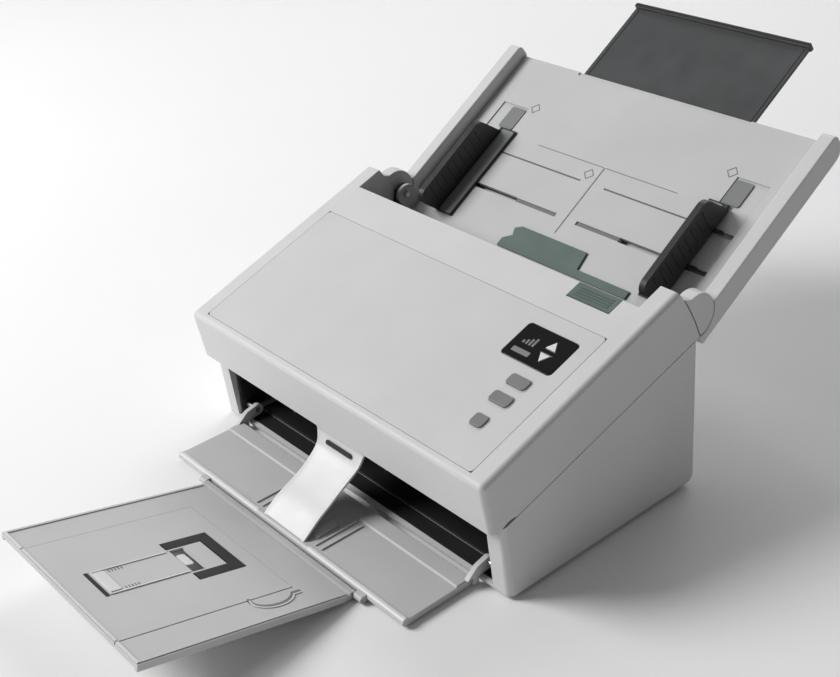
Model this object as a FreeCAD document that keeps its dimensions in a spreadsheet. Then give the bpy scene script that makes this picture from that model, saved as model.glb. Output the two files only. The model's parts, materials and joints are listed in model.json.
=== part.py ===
import FreeCAD, Part
import math
import os
import re

import Sketcher
from FreeCAD import Placement, Rotation, Vector

# Sheet fed document scanner, open for use: the paper tray leans back from the
# rear of the casing and the output tray is folded out in front.
# Casing frame: X across the machine, Y towards the back, Z up, with the front
# bottom edge of the casing at Y = 0, Z = 0.  Millimetres throughout.

SIZES = {
    # casing
    "half_width": 158.0,
    "wall": 2.5,
    "casing_depth": 173.3,
    "corner_r": 6.0,
    "foot_height": 3.0,
    "frame_shift": -86.5,
    # the paper path is the parting plane between casing and cover
    "part_front_y": -3.6,
    "part_front_z": 54.6,
    "part_slope": 0.3165,
    "part_gap": 0.35,
    "path_gap": 0.9,
    "opening_half": 142.9,
    # cover
    "top_front_y": -17.6,
    "top_front_z": 93.0,
    "top_slope": 0.3455,
    "top_angle": 19.06,
    "lip_y": -12.2,
    "lip_z": 55.3,
    "cover_pivot_y": 6.0,
    "cover_pivot_z": 46.0,
    "cover_end_r": 183.6,
    "ear_inner": 143.0,
    "skin": 3.0,
    # side frames
    "frame_outer": 142.5,
    "frame_inner": 140.3,
    # input tray, measured from the middle of its top edge
    "tray_top_y": 319.5,
    "tray_top_z": 199.2,
    "tray_angle": 31.76,
    "tray_pivot_y": 175.0,
    "tray_pivot_z": 128.0,
    "tray_pivot_v": -160.3,
    "tray_pivot_n": 15.5,
    "tray_skin": 3.0,
    "tray_deep": 8.0,
    "rail_inner": 147.0,
    "rail_top": 11.0,
    "guide_x": 113.0,
    "guide_tall": 27.0,
    "extension_half": 83.4,
    "extension_out": 78.0,
    # output tray
    "out_pivot_y": 5.0,
    "out_pivot_z": 8.0,
    "out_half": 129.1,
    "out_front_y": -63.0,
    "out_top": 3.0,
    "fold_y": -63.9,
    "fold_z": 0.6,
    "fold_angle": -15.0,
    "fold_long": 155.8,
    "fold_half": 85.4,
    # rollers, gears and shafts
    "shaft_r": 3.0,
    "run_gap": 0.05,
    "feed_y": 120.0,
    "feed_r": 13.0,
    "exit_y": 16.0,
    "exit_r": 7.0,
    "pinch_r": 5.0,
    "gear_low": 146.2,
    "gear_high": 150.2,
    "pin_r": 2.4,
}
GEAR_MODULE = 1.0
TEETH = {"pinion": 14, "feed": 40, "large": 42, "small": 40, "exit": 18}
MOTOR_ANGLE = -75.0
ALIAS = re.compile(r"\b(" + "|".join(sorted(SIZES, key=len, reverse=True)) + r")\b")

doc = FreeCAD.newDocument("document_scanner")
sheet = doc.addObject("Spreadsheet::Sheet", "Sizes")
nodes = []


def fill_sheet():
    for row, (alias, value) in enumerate(SIZES.items(), start=1):
        sheet.set(f"A{row}", alias)
        sheet.set(f"B{row}", str(value))
        sheet.setAlias(f"B{row}", alias)
    doc.recompute()


def linked(text):
    """The expression with each size read from the sheet."""
    return ALIAS.sub(r"Sizes.\1", str(text))


def value(text):
    """The number an expression gives now."""
    return float(sheet.evalExpression(str(text)))


def part_z(y):
    """Height of the parting plane at a given Y."""
    return f"(part_front_z + ({y} - part_front_y) * part_slope)"


def top_z(y):
    """Height of the cover's top plane at a given Y."""
    return f"(top_front_z + ({y} - top_front_y) * top_slope)"


# ---------------------------------------------------------------- frames

def place(obj, frame):
    """Give a sub-part its frame: casing, top panel, input tray or output fold."""
    origins = {
        "casing": ("0", "0", "0"),
        "top": ("top_front_y", "top_front_z", "top_angle"),
        "tray": ("tray_top_y", "tray_top_z", "tray_angle"),
        "fold": ("fold_y", "fold_z", "fold_angle"),
    }
    y, z, angle = origins[frame]
    obj.Placement = Placement(Vector(0, 0, 0), Rotation(Vector(1, 0, 0), value(angle)))
    obj.setExpression("Placement.Base.y", linked(f"{y} + frame_shift"))
    obj.setExpression("Placement.Base.z", linked(f"{z} + foot_height"))


def publish(obj, node, frame="casing"):
    """Name a finished sub-part and put it in its frame."""
    if obj.TypeId in ("Part::Box", "Part::Cylinder"):
        obj = group(f"{node}_placed", obj)
    obj.Label = node
    place(obj, frame)
    nodes.append((node, obj))
    return obj


# ---------------------------------------------------------------- mouldings

def arc_middle(start, end, radius):
    """Middle point of an arc from start to end; a positive radius bulges to the right."""
    chord = (end - start)
    half = chord.Length / 2
    rise = abs(radius) - math.sqrt(max(radius * radius - half * half, 0.0))
    side = Vector(chord.y, -chord.x, 0).normalize()
    return (start + end) * 0.5 + side * (rise if radius > 0 else -rise)


class Moulding:
    """A PartDesign body built from pads and pockets of drawn outlines."""

    planes = {"side": "YZ_Plane", "plan": "XY_Plane", "front": "XZ_Plane"}

    def __init__(self, name):
        self.name = name
        self.body = doc.addObject("PartDesign::Body", name)
        self.count = 0

    def sketch(self, view, outlines, level):
        self.count += 1
        drawing = self.body.newObject("Sketcher::SketchObject", f"{self.name}_sketch{self.count}")
        role = self.planes[view]
        plane = [item for item in self.body.Origin.OriginFeatures if item.Role == role][0]
        drawing.AttachmentSupport = [(plane, "")]
        drawing.MapMode = "FlatFace"
        drawing.setExpression("AttachmentOffset.Base.z", linked(level))
        for outline in outlines:
            if outline[0] == "circle":
                self.draw_circle(drawing, outline)
            else:
                self.draw_outline(drawing, outline)
        doc.recompute()
        return drawing

    def draw_circle(self, drawing, outline):
        x, y, radius = outline[1:]
        centre = Vector(value(x), value(y), 0)
        shape = Part.Circle(centre, Vector(0, 0, 1), value(radius))
        index = drawing.addGeometry(shape)
        self.pin_point(drawing, index, 3, x, y)
        number = drawing.addConstraint(Sketcher.Constraint("Radius", index, value(radius)))
        drawing.setExpression(f"Constraints[{number}]", linked(radius))

    def draw_outline(self, drawing, outline):
        corners = [Vector(value(item[0]), value(item[1]), 0) for item in outline]
        first = drawing.GeometryCount
        for index, item in enumerate(outline):
            start = corners[index]
            end = corners[(index + 1) % len(corners)]
            if len(item) == 3:
                middle = arc_middle(start, end, value(item[2]))
                drawing.addGeometry(Part.Arc(start, middle, end))
            else:
                drawing.addGeometry(Part.LineSegment(start, end))
        total = len(outline)
        ends = [self.end_ids(drawing, first + index, corners[index]) for index in range(total)]
        for index in range(total):
            following = (index + 1) % total
            drawing.addConstraint(Sketcher.Constraint(
                "Coincident", first + index, ends[index][1], first + following, ends[following][0]))
        for index, item in enumerate(outline):
            self.pin_point(drawing, first + index, ends[index][0], item[0], item[1])
            if len(item) == 3:
                size = abs(value(item[2]))
                number = drawing.addConstraint(Sketcher.Constraint("Radius", first + index, size))
                drawing.setExpression(f"Constraints[{number}]", f"abs({linked(item[2])})")

    def end_ids(self, drawing, index, start):
        """Sketch ids of the start and end of an edge; an arc may be stored reversed."""
        stored = drawing.getPoint(index, 1)
        if stored.distanceToPoint(start) < 1e-6:
            return 1, 2
        return 2, 1

    def pin_point(self, drawing, index, point, x, y):
        for kind, text in (("DistanceX", x), ("DistanceY", y)):
            rule = Sketcher.Constraint(kind, -1, 1, index, point, value(text))
            number = drawing.addConstraint(rule)
            drawing.setExpression(f"Constraints[{number}]", linked(text))

    def feature(self, kind, drawing, low, high):
        step = self.body.newObject(f"PartDesign::{kind}", f"{self.name}_{kind}{self.count}")
        step.Profile = drawing
        step.setExpression("Length", linked(f"({high}) - ({low})"))
        drawing.Visibility = False
        doc.recompute()
        return step

    def pad(self, view, outlines, low, high):
        """Add material between low and high, measured along the third axis."""
        level = f"-({high})" if view == "front" else low
        self.feature("Pad", self.sketch(view, outlines, level), low, high)
        return self

    def pocket(self, view, outlines, low, high):
        """Take material away between low and high."""
        before = self.body.Shape.Volume
        level = f"-({low})" if view == "front" else high
        self.feature("Pocket", self.sketch(view, outlines, level), low, high)
        if self.body.Shape.Volume > before - 0.01:
            raise RuntimeError(f"{self.name}: pocket {self.count} cut nothing")
        return self

    def round_edges(self, radius, chosen):
        """Fillet every edge that the test picks."""
        tip = self.body.Tip
        names = [f"Edge{n}" for n, edge in enumerate(tip.Shape.Edges, start=1) if chosen(edge)]
        step = self.body.newObject("PartDesign::Fillet", f"{self.name}_round{self.count}")
        step.Base = (tip, names)
        step.setExpression("Radius", linked(radius))
        doc.recompute()
        self.count += 1
        return self


def rectangle(x0, y0, x1, y1):
    return [(x0, y0), (x1, y0), (x1, y1), (x0, y1)]


def mirrored_pair(x0, y0, x1, y1):
    """A rectangle and its mirror image across X = 0."""
    return [rectangle(x0, y0, x1, y1), rectangle(f"-({x1})", y0, f"-({x0})", y1)]


def rounded(x0, y0, x1, y1, r):
    """Rectangle with round corners, drawn anticlockwise."""
    return [
        (f"{x0} + {r}", y0), (f"{x1} - {r}", y0, r), (x1, f"{y0} + {r}"), (x1, f"{y1} - {r}", r),
        (f"{x1} - {r}", y1), (f"{x0} + {r}", y1, r), (x0, f"{y1} - {r}"), (x0, f"{y0} + {r}", r),
    ]


# ---------------------------------------------------------------- primitives

def block(name, x, y, z):
    """Part::Box between two limits on each axis."""
    box = doc.addObject("Part::Box", name)
    for axis, side, (low, high) in zip("xyz", ("Length", "Width", "Height"), (x, y, z)):
        box.setExpression(side, linked(f"({high}) - ({low})"))
        box.setExpression(f"Placement.Base.{axis}", linked(low))
    return box


AXIS_TURN = {
    "x": Rotation(Vector(0, 1, 0), 90),
    "y": Rotation(Vector(1, 0, 0), -90),
    "z": Rotation(),
}


def rod(name, axis, at, radius, low, high):
    """Part::Cylinder along an axis; at gives the other two coordinates in X, Y, Z order."""
    cylinder = doc.addObject("Part::Cylinder", name)
    cylinder.setExpression("Radius", linked(radius))
    cylinder.setExpression("Height", linked(f"({high}) - ({low})"))
    cylinder.Placement = Placement(Vector(0, 0, 0), AXIS_TURN[axis])
    others = [letter for letter in "xyz" if letter != axis]
    for letter, text in zip(others, at):
        cylinder.setExpression(f"Placement.Base.{letter}", linked(text))
    cylinder.setExpression(f"Placement.Base.{axis}", linked(low))
    return cylinder


def join(name, *shapes):
    fused = doc.addObject("Part::MultiFuse", name)
    fused.Shapes = list(shapes)
    doc.recompute()
    return fused


def group(name, *shapes):
    """Separate solids kept in one node."""
    together = doc.addObject("Part::Compound", name)
    together.Links = list(shapes)
    doc.recompute()
    return together


def cut(name, base, *tools):
    result = doc.addObject("Part::Cut", name)
    result.Base = base
    result.Tool = tools[0] if len(tools) == 1 else join(f"{name}_tools", *tools)
    doc.recompute()
    return result


def both_sides(name, make):
    """The left and right copies of a piece, made from +1 and -1."""
    return group(name, make(1), make(-1))


def span(side, low, high):
    """X limits of a piece on one side of the middle plane."""
    if side > 0:
        return low, high
    return f"-({high})", f"-({low})"


# ---------------------------------------------------------------- casing

def base_casing():
    rear = "casing_depth"
    gap = "part_gap"
    outline = [
        ("0", "0"), (f"{rear} - corner_r", "0", "corner_r"), (rear, "corner_r"),
        (rear, f"{part_z(rear)} - {gap}"), ("part_front_y + 0.5", f"{part_z('part_front_y + 0.5')} - {gap}"),
        ("part_front_y + 0.1", "part_front_z - 1.6"),
    ]
    hollow = [
        ("wall", "wall"), (f"{rear} - wall - corner_r", "wall", "corner_r"),
        (f"{rear} - wall", "wall + corner_r"), (f"{rear} - wall", "130"), ("wall", "130"),
    ]
    shell = Moulding("base_casing")
    shell.pad("side", [outline], "-half_width", "half_width")
    shell.pocket("side", [hollow], "-half_width + wall", "half_width - wall")
    shell.pocket("front", [rectangle("-opening_half", "wall", "opening_half", "90")], "-12", "wall + 0.1")
    shell.pocket("plan", [rectangle("-130.2", "19.8", "130.2", "150.2")], "-1", "wall + 1")
    shell.pocket("side", [rectangle("1.3", "38", "wall + 0.2", "52")], "151.2", "half_width - wall")
    shell.pocket("side", [rectangle("1.3", "38", "wall + 0.2", "52")], "-half_width + wall", "-151.2")
    # rear wall: low in the middle for the tray, with the two socket openings
    shell.pocket("front", [rectangle("-opening_half", "97", "opening_half", "130")],
                 f"{rear} - wall - 1", f"{rear} + 1")
    shell.pocket("front", [rectangle("60", "16", "74", "28"), rectangle("90", "17", "103", "28.5")],
                 f"{rear} - wall - 1", f"{rear} + 1")
    shell.round_edges("corner_r - 1", is_front_post_edge)
    holes = [rod(f"casing_pin_hole{side}", "x", ("cover_pivot_y", "cover_pivot_z"), "pin_r + 0.02",
                 *span(side, "half_width - wall - 0.5", "half_width - 0.8")) for side in (1, -1)]
    bosses = join("casing_bosses", shell.body, *[
        rod(f"casing_boss{side}", "x", ("cover_pivot_y", "cover_pivot_z"), "4.4",
            *span(side, "146.4", "151.2")) for side in (1, -1)],
        *[block(f"boss_rib{side}", span(side, "146.4", "151.2"), ("wall - 0.5", "10.4"),
                ("wall - 0.5", "cover_pivot_z")) for side in (1, -1)])
    drill = [rod(f"boss_hole{side}", "x", ("cover_pivot_y", "cover_pivot_z"), "pin_r",
                 *span(side, "146.4", "152")) for side in (1, -1)]
    publish(cut("base_casing_done", bosses, *drill, *holes), "base_casing")


def is_front_post_edge(edge):
    """The two upright edges at the front corners of the casing."""
    box = edge.BoundBox
    upright = box.ZLength > 40 and box.XLength < 0.01 and box.YLength < 8
    return upright and abs(abs(box.XMin) - SIZES["half_width"]) < 0.01 and box.YMax < 1


def bottom_cover():
    plate = block("bottom_plate", ("-130", "130"), ("20", "150"), ("0.3", "wall"))
    flange = block("bottom_flange", ("-134", "134"), ("16", "154"), ("wall", "wall + 1.6"))
    plate = join("bottom_joined", plate, flange)
    holes = [rod(f"bottom_hole{n}", "z", (x, y), "1.7", "-1", "6")
             for n, (x, y) in enumerate(bottom_screw_places())]
    publish(cut("bottom_cover_done", plate, *holes), "bottom_cover")


def bottom_screw_places():
    return [(x, y) for x in ("-110", "0", "110") for y in ("30", "140")]


def case_screws():
    screws = []
    for number, (x, y) in enumerate(bottom_screw_places()):
        head = rod(f"screw_head{number}", "z", (x, y), "2.9", "-0.9", "0.28")
        shank = rod(f"screw_shank{number}", "z", (x, y), "1.5", "0.2", "7")
        screws.append(join(f"screw{number}", head, shank))
    publish(group("case_screws_all", *screws), "case_screws")


def rubber_feet():
    feet = []
    for number, (x, y) in enumerate((x, y) for x in ("-140", "140") for y in ("16", "156")):
        pad = rod(f"foot_pad{number}", "z", (x, y), "9", "-foot_height", "-0.02")
        feet.append(pad)
    publish(group("rubber_feet_all", *feet), "rubber_feet")


def side_frame(side, node):
    """Inner side plate that carries the shafts and the tray's pivot."""
    under = "(path_gap + 2.4)"
    outline = [
        ("4", "wall + 1.9"), ("164", "wall + 1.9"), ("170", "20"), ("170", "96"),
        ("tray_pivot_y + 5", "tray_pivot_z - 8"), ("tray_pivot_y + 8", "tray_pivot_z", "8"),
        ("tray_pivot_y - 6.93", "tray_pivot_z + 4"), ("163", "104"),
        ("150", f"{part_z('150')} - {under}"), ("4", f"{part_z('4')} - {under}"),
    ]
    low, high = span(side, "frame_inner", "frame_outer")
    plate = Moulding(node)
    plate.pad("side", [outline], low, high)
    feed_y, feed_z = feed_axis()
    exit_y, exit_z = exit_axis()
    plate.pocket("side", [
        ("circle", feed_y, feed_z, "shaft_r + 2"), ("circle", exit_y, exit_z, "shaft_r + 1.5"),
        ("circle", "tray_pivot_y", "tray_pivot_z", "pin_r"),
        ("circle", "out_pivot_y + 3", "out_pivot_z + 1", "pin_r")], low, high)
    if side > 0:
        motor_y, motor_z = [str(number) for number in gear_centres()["pinion"]]
        plate.pocket("side", [("circle", motor_y, motor_z, "5.6")], low, high)
    publish(plate.body, node)


def feed_axis():
    """Centre of the driven feed roller, just under the paper."""
    reach = "(feed_r + 0.15)"
    return f"(feed_y + {reach} * 0.3017)", f"({part_z('feed_y')} - {reach} * 0.9534)"


def retard_axis():
    reach = "(feed_r + 0.25)"
    return f"(feed_y - {reach} * 0.3017)", f"({part_z('feed_y')} + {reach} * 0.9534)"


def exit_axis():
    reach = "(exit_r + 0.15)"
    return f"(exit_y + {reach} * 0.3017)", f"({part_z('exit_y')} - {reach} * 0.9534)"


def pinch_axis():
    reach = "(pinch_r + 0.25)"
    return f"(exit_y - {reach} * 0.3017)", f"({part_z('exit_y')} + {reach} * 0.9534)"


def lower_paper_guide():
    """Lower half of the paper path, with windows for the rollers and the sensor."""
    gap = "path_gap"
    outline = [
        ("-2.4", f"{part_z('-2.4')} - {gap} - 2"), ("169.6", f"{part_z('169.6')} - {gap} - 4"),
        ("176.3", f"{part_z('176.3')} - {gap} - 4.4"), ("176.3", f"{part_z('176.3')} - {gap} - 2"),
        ("-2.4", f"{part_z('-2.4')} - {gap}"),
    ]
    guide = Moulding("lower_paper_guide")
    guide.pad("side", [outline], "-frame_inner + 0.4", "frame_inner - 0.4")
    windows = mirrored_pair("12", "feed_y - 10", "29", "feed_y + 17")
    windows += mirrored_pair("43", "exit_y - 6", "59", "exit_y + 11")
    windows += mirrored_pair("98", "exit_y - 6", "114", "exit_y + 11")
    windows.append(rectangle("-116.3", "61.7", "116.3", "76.3"))
    windows += mirrored_pair("134.6", "160", "143", "178")
    guide.pocket("plan", windows, "40", "130")
    publish(guide.body, "lower_paper_guide")


def sensor(side, node, glass_node):
    """Contact image sensor: a long box with a glass strip facing the paper."""
    sign = "-" if side > 0 else "+"
    near, far = [f"({part_z(y)} {sign} (path_gap + 0.4))" for y in ("62", "76")]
    slab = [("62", near), ("76", far), ("76", f"{far} {sign} 1.8"), ("62", f"{near} {sign} 1.8")]
    glass = Moulding(glass_node)
    glass.pad("side", [slab], "-116", "116")
    publish(glass.body, glass_node)
    low, high = (f"{near} - 16", f"{near} - 2.1") if side > 0 else (f"{far} + 2.1", f"{far} + 16")
    housing = block(f"{node}_box", ("-116", "116"), ("62", "76"), (low, high))
    slot_z = (f"{high} - 1.2", f"{high} + 1") if side > 0 else (f"{low} - 1", f"{low} + 1.2")
    slot = block(f"{node}_slot", ("-110", "110"), ("66", "72"), slot_z)
    publish(cut(f"{node}_done", housing, slot), node)


def bay_bulkhead():
    """Upright wall that closes the tray bay off from the works behind it."""
    low = f"{part_z('85')} - path_gap - 5"
    publish(block("bulkhead", ("-139.9", "139.9"), ("84", "86"), ("wall + 1.9", low)), "bay_bulkhead")


def main_board():
    board = block("board_sheet", ("-125", "20"), ("92", "160"), ("9", "10.6"))
    chips = [
        block("board_chip1", ("-80", "-60"), ("115", "135"), ("10.5", "12.6")),
        block("board_chip2", ("-45", "-33"), ("110", "124"), ("10.5", "12")),
        block("board_plug1", ("-10", "12"), ("96", "102"), ("10.5", "18")),
        block("board_plug2", ("-120", "-104"), ("96", "102"), ("10.5", "18")),
    ]
    studs = [rod(f"board_stud{n}", "z", (x, y), "3", "wall + 1.62", "9")
             for n, (x, y) in enumerate((x, y) for x in ("-120", "14") for y in ("106", "155"))]
    publish(join("main_board_done", board, *chips, *studs), "main_board")


def sockets():
    rear = "casing_depth"
    body = block("usb_body", ("60.3", "73.7"), ("156", f"{rear} - 0.4"), ("16.3", "27.7"))
    mouth = block("usb_mouth", ("62.2", "71.8"), ("160", "180"), ("18", "26"))
    tongue = block("usb_tongue", ("64", "70"), ("158", f"{rear} - 2"), ("20.6", "23.2"))
    publish(join("usb_done", cut("usb_shell", body, mouth), tongue), "usb_socket")
    body = block("dc_body", ("90.3", "102.7"), ("156", f"{rear} - 0.4"), ("17.3", "28.2"))
    bore = rod("dc_bore", "y", ("96.5", "22.75"), "3.2", "161", "180")
    pin = rod("dc_pin", "y", ("96.5", "22.75"), "1.0", "158", f"{rear} - 2")
    publish(join("dc_done", cut("dc_shell", body, bore), pin), "dc_inlet")


# ---------------------------------------------------------------- drive

def gear_centres():
    """Centres of the gear train, worked out from the tooth counts."""
    feed = (value(feed_axis()[0]), value(feed_axis()[1]))
    leave = (value(exit_axis()[0]), value(exit_axis()[1]))
    radius = {name: GEAR_MODULE * teeth / 2 for name, teeth in TEETH.items()}
    towards = math.atan2(leave[1] - feed[1], leave[0] - feed[0])
    first = radius["feed"] + radius["large"]
    large = (feed[0] + first * math.cos(towards), feed[1] + first * math.sin(towards))
    rest = math.hypot(leave[0] - large[0], leave[1] - large[1])
    second = radius["large"] + radius["small"]
    third = radius["small"] + radius["exit"]
    bend = math.acos((second ** 2 + rest ** 2 - third ** 2) / (2 * second * rest))
    heading = towards + bend
    small = (large[0] + second * math.cos(heading), large[1] + second * math.sin(heading))
    turn = math.radians(MOTOR_ANGLE)
    reach = radius["feed"] + radius["pinion"]
    pinion = (feed[0] + reach * math.cos(turn), feed[1] + reach * math.sin(turn))
    return {"feed": feed, "large": large, "small": small, "exit": leave, "pinion": pinion}


def gear_phases(centres):
    """Angle of one tooth of each gear, so that every pair is in mesh at rest."""
    phases = {"feed": 0.0}
    for known, other in (("feed", "large"), ("large", "small"), ("small", "exit"), ("feed", "pinion")):
        dy = centres[other][0] - centres[known][0]
        dz = centres[other][1] - centres[known][1]
        line = math.atan2(dz, dy)
        pitch = 2 * math.pi / TEETH[known]
        part = ((line - phases[known]) / pitch) % 1.0
        own = 2 * math.pi / TEETH[other]
        phases[other] = line + math.pi - (0.5 - part) * own
    return phases


def gear_face(teeth, centre, phase, x):
    """Spur gear outline with straight-flanked teeth, standing in a YZ plane."""
    pitch_r = GEAR_MODULE * teeth / 2
    step = math.pi / teeth
    corners = []
    for tooth in range(teeth):
        middle = phase + 2 * step * tooth
        for radius, half in ((pitch_r - 1.15, -0.62), (pitch_r + 0.85, -0.20),
                             (pitch_r + 0.85, 0.20), (pitch_r - 1.15, 0.62)):
            angle = middle + half * step
            corners.append(Vector(x, centre[0] + radius * math.cos(angle),
                                  centre[1] + radius * math.sin(angle)))
    return Part.Face(Part.makePolygon(corners + corners[:1]))


def gear(node, name, bore, centres, phases):
    low, high = value("gear_low"), value("gear_high")
    face = gear_face(TEETH[name], centres[name], phases[name], low)
    solid = face.extrude(Vector(high - low, 0, 0))
    axis_at = Vector(low - 1, centres[name][0], centres[name][1])
    solid = solid.cut(Part.makeCylinder(bore, high - low + 2, axis_at, Vector(1, 0, 0)))
    feature = doc.addObject("Part::Feature", node)
    feature.Shape = solid
    publish(feature, node)


def drive_gears():
    centres = gear_centres()
    phases = gear_phases(centres)
    shaft = value("shaft_r")
    pin = value("pin_r + run_gap")
    gear("feed_gear", "feed", shaft, centres, phases)
    gear("exit_gear", "exit", shaft - 0.5, centres, phases)
    gear("large_idler_gear", "large", pin, centres, phases)
    gear("small_idler_gear", "small", pin, centres, phases)
    gear("motor_pinion", "pinion", 1.5, centres, phases)
    idler_studs(centres)
    drive_motor(centres)


def idler_studs(centres):
    studs = []
    for name in ("large", "small"):
        at = [str(number) for number in centres[name]]
        stem = rod(f"stud_{name}", "x", at, "pin_r", "frame_outer", "gear_high + 1.2")
        head = rod(f"stud_head_{name}", "x", at, "pin_r + 1.6", "gear_high + 0.3", "gear_high + 1.4")
        base = rod(f"stud_base_{name}", "x", at, "pin_r + 1.6", "frame_outer", "gear_low - 0.4")
        studs.append(join(f"stud_all_{name}", stem, head, base))
    publish(group("idler_studs_all", *studs), "idler_studs")


def drive_motor(centres):
    at = [str(number) for number in centres["pinion"]]
    can = rod("motor_can", "x", at, "17", "96", "frame_inner - 0.4")
    nose = rod("motor_nose", "x", at, "5", "frame_inner - 1", "frame_outer + 1.5")
    shaft = rod("motor_shaft", "x", at, "1.45", "frame_outer", "gear_high + 1")
    publish(join("drive_motor_done", can, nose, shaft), "drive_motor")


def shafts_and_tyres():
    feed, leave = feed_axis(), exit_axis()
    publish(rod("feed_rod", "x", feed, "shaft_r", "-frame_outer - 2", "gear_high + 1"), "feed_shaft")
    publish(rod("exit_rod", "x", leave, "shaft_r - 0.5", "-frame_outer - 2", "gear_high + 1"), "exit_shaft")
    rings = [tyre(f"feed_tyre{side}", feed, "feed_r", "shaft_r", span(side, "14", "27")) for side in (1, -1)]
    publish(group("feed_tyres_all", *rings), "feed_tyres")
    rings = [tyre(f"exit_tyre{side}{low}", leave, "exit_r", "shaft_r - 0.5", span(side, low, f"{low} + 12"))
             for side in (1, -1) for low in ("45", "100")]
    publish(group("exit_tyres_all", *rings), "exit_tyres")


def tyre(name, at, outer, inner, limits):
    ring = rod(f"{name}_out", "x", at, outer, *limits)
    hole = rod(f"{name}_in", "x", at, inner, f"{limits[0]} - 1", f"{limits[1]} + 1")
    return cut(name, ring, hole)


def shaft_bushes():
    bushes = []
    for name, at, inner, outer in (("feed", feed_axis(), "shaft_r", "shaft_r + 2"),
                                   ("exit", exit_axis(), "shaft_r - 0.5", "shaft_r + 1.5")):
        for side in (1, -1):
            low, high = span(side, "frame_inner", "frame_outer + 1")
            ring = rod(f"bush_{name}{side}", "x", at, outer, low, high)
            hole = rod(f"bush_hole_{name}{side}", "x", at, f"{inner} + run_gap", f"{low} - 1", f"{high} + 1")
            bushes.append(cut(f"bush_done_{name}{side}", ring, hole))
    publish(group("shaft_bushes_all", *bushes), "shaft_bushes")


# ---------------------------------------------------------------- cover

def cover_shell():
    """Top cover: a hood over the paper path, open behind between its two ears."""
    rear_low = "(6 + 170.95)"
    front_low = "(part_front_y + 0.6)"
    outline = [
        (front_low, f"{part_z(front_low)} + 0.25"),
        (rear_low, f"{part_z(rear_low)} + 0.25", "cover_end_r"),
        ("155.4", top_z("155.4")), ("top_front_y", "top_front_z"), ("lip_y", "lip_z"),
    ]
    inside = [
        ("lip_y + 3.4", "40"), ("172.6", "40"), ("172.6", f"{part_z('172.6')} + 4"),
        ("152.5", f"{top_z('152.5')} - skin * 1.058"),
        ("top_front_y + 3.5", f"{top_z('(top_front_y + 3.5)')} - skin * 1.058"),
    ]
    hood = Moulding("cover_hood")
    hood.pad("side", [outline], "-half_width", "half_width")
    hood.round_edges("4", is_cover_outer_edge)
    hood.pocket("side", [inside], "-half_width + wall", "half_width - wall")
    hood.pocket("side", [rectangle("134.8", "90", "190", "190")], "-ear_inner", "ear_inner")
    ears = []
    for side in (1, -1):
        ear = Moulding(f"ear_wall{'R' if side > 0 else 'L'}")
        ear.pad("side", [ear_outline()], *span(side, "ear_inner", "ear_inner + wall"))
        ears.append(ear.body)
    whole = join("cover_with_ears", hood.body, *ears, *cover_arms())
    holes = [rod(f"cover_arm_hole{side}", "x", ("cover_pivot_y", "cover_pivot_z"), "pin_r + run_gap",
                 *span(side, "150", "157")) for side in (1, -1)]
    sweep = [rod(f"post_sweep{side}", "x", ("cover_pivot_y", "cover_pivot_z"), "13.4",
                 *span(side, "155.2", "160")) for side in (1, -1)]
    publish(cut("cover_shell_done", whole, *holes, *sweep, top_cutters()), "cover_shell")


def ear_outline():
    return [
        ("124", f"{part_z('124')} + 0.3"), ("6 + 170.95", f"{part_z('6 + 170.95')} + 0.25", "cover_end_r"),
        ("155.4", f"{top_z('155.4')} - 1"), ("124", f"{top_z('124')} - 1"),
    ]


def is_cover_outer_edge(edge):
    """Long outer edges along the top of the cover."""
    box = edge.BoundBox
    on_side = abs(abs(box.Center.x) - SIZES["half_width"]) < 0.01 and box.XLength < 0.01
    if on_side and box.YLength > 150 and box.ZMax > 140:
        return True
    if on_side and box.YMax < -10 and box.ZLength > 30:
        return True
    return box.XLength > 300 and box.YMax < -17 and box.ZMin > 92


def cover_arms():
    """Two arms that reach down inside the casing to the cover's pins."""
    outline = [
        ("cover_pivot_y - 3.5", "cover_pivot_z"), ("cover_pivot_y - 1", "cover_pivot_z - 4"),
        ("cover_pivot_y + 2", "cover_pivot_z - 4"), ("34", f"{part_z('34')} + 2"), ("30", "74"),
        ("14", "70"), ("14", "63"), ("9.5", "54"),
    ]
    arms = []
    for side in (1, -1):
        arm = Moulding(f"cover_arm{'R' if side > 0 else 'L'}")
        arm.pad("side", [outline], *span(side, "151.6", "155.1"))
        arms.append(arm.body)
        arms.append(block(f"arm_root{side}", span(side, "154.9", "156"), ("14.5", "29.5"), ("65.1", "69.5")))
    return arms


def top_cutters():
    """Recess for the top panel and the openings under display, buttons and latch."""
    pieces = [
        block("recess_panel", ("-143.3", "143.3"), ("5.7", "130.3"), ("-1.6", "4")),
        block("well_display", ("89.5", "130.5"), ("89.5", "115.5"), ("-6", "1")),
        block("well_keys", ("109", "127"), ("53", "79"), ("-6", "1")),
        block("well_power", ("112", "124"), ("32", "43.5"), ("-6", "1")),
        block("well_latch", ("91.6", "129.4"), ("147.1", "170"), ("-6", "4")),
        rod("latch_bearing", "x", ("148.6", "-1.2"), "0.8 + run_gap", "90", "131"),
    ]
    tool = join("top_tool", *pieces)
    tool.Placement = Placement(Vector(0, value("top_front_y"), value("top_front_z")),
                               Rotation(Vector(1, 0, 0), value("top_angle")))
    return tool


def top_panel():
    """Flat inset panel in the cover's top, pierced for the controls."""
    panel = Moulding("top_panel")
    panel.pad("plan", [rounded("-143", "6", "143", "130", "3")], "-1.55", "0.05")
    holes = [rounded("87.2", "87.2", "132.3", "117.8", "3.3")]
    holes += [rounded("109.2", "69.1", "126.8", "78.9", "3"), rounded("109.2", "53.1", "126.8", "62.9", "3"),
              rounded("112.2", "32.7", "123.8", "43.3", "3")]
    panel.pocket("plan", holes, "-3", "2")
    publish(panel.body, "top_panel", "top")


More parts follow.
